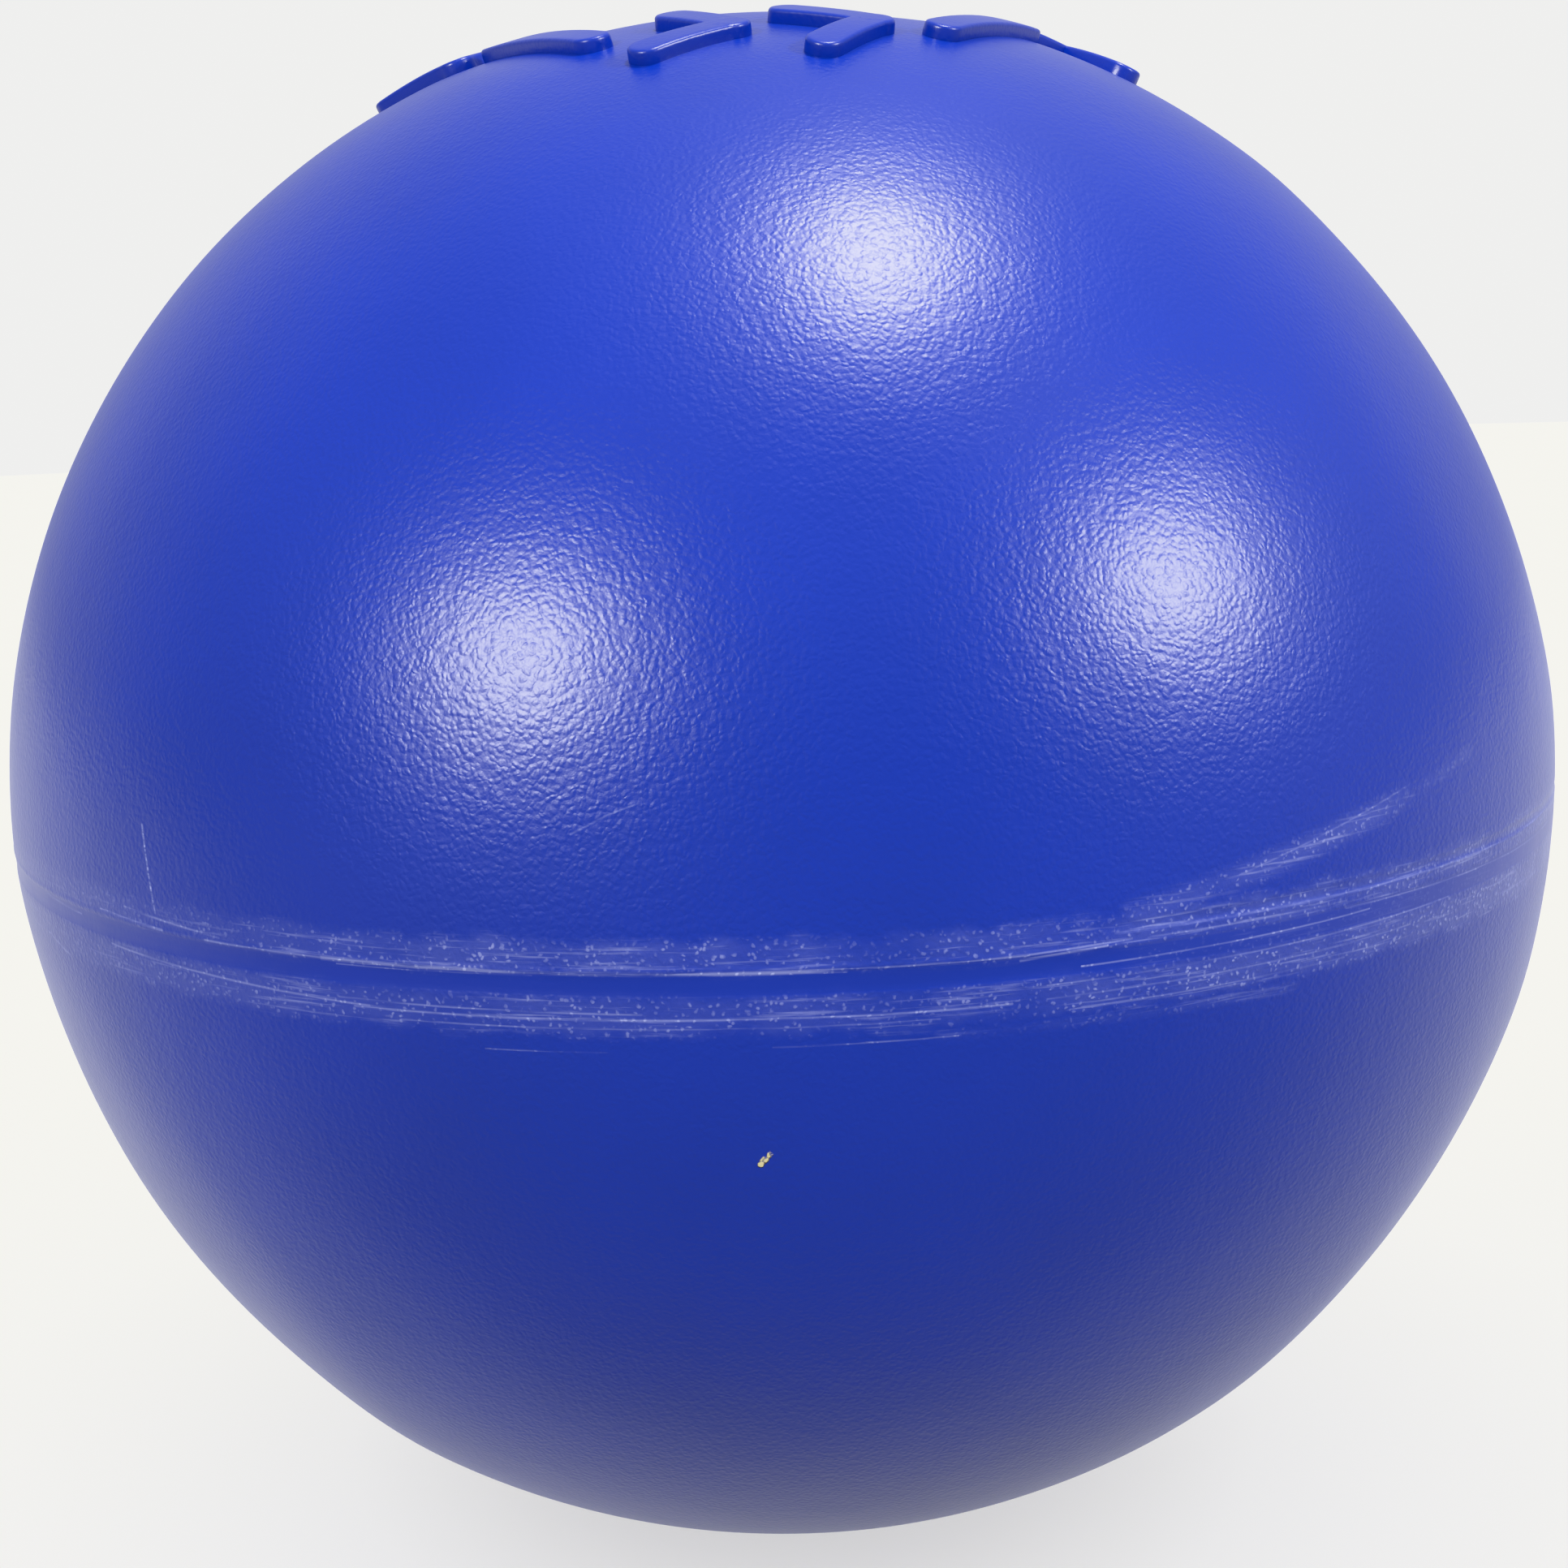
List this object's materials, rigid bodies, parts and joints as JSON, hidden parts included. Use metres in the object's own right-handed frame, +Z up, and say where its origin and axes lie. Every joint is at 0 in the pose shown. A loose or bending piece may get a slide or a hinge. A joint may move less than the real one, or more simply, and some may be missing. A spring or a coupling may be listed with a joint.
{
  "type": "medicine ball",
  "caption": "Small sand-filled vinyl exercise ball with a welded equator, raised marks round its top and a flush filler plug underneath.",
  "frame": {"origin": "centre of the flat land that the ball rests on, straight below its centre", "axes": "+Z up through the pole that carries the raised marks; -Y is the front, midway between two raised bars"},
  "size_m": [0.15, 0.15, 0.1467],
  "materials": {
    "vinyl_skin": "satin",
    "vinyl_weld": "satin",
    "hard_vinyl": "satin",
    "plug_plastic": "satin",
    "seal_rubber": "matte",
    "dry_sand": "matte"
  },
  "bodies": {
    "root": {"upper_shell": "vinyl_skin", "lower_shell": "vinyl_skin", "seam_weld": "vinyl_weld", "filler_bush": "hard_vinyl", "filler_plug": "plug_plastic", "plug_seal": "seal_rubber", "sand_fill": "dry_sand"}
  },
  "joints": []
}
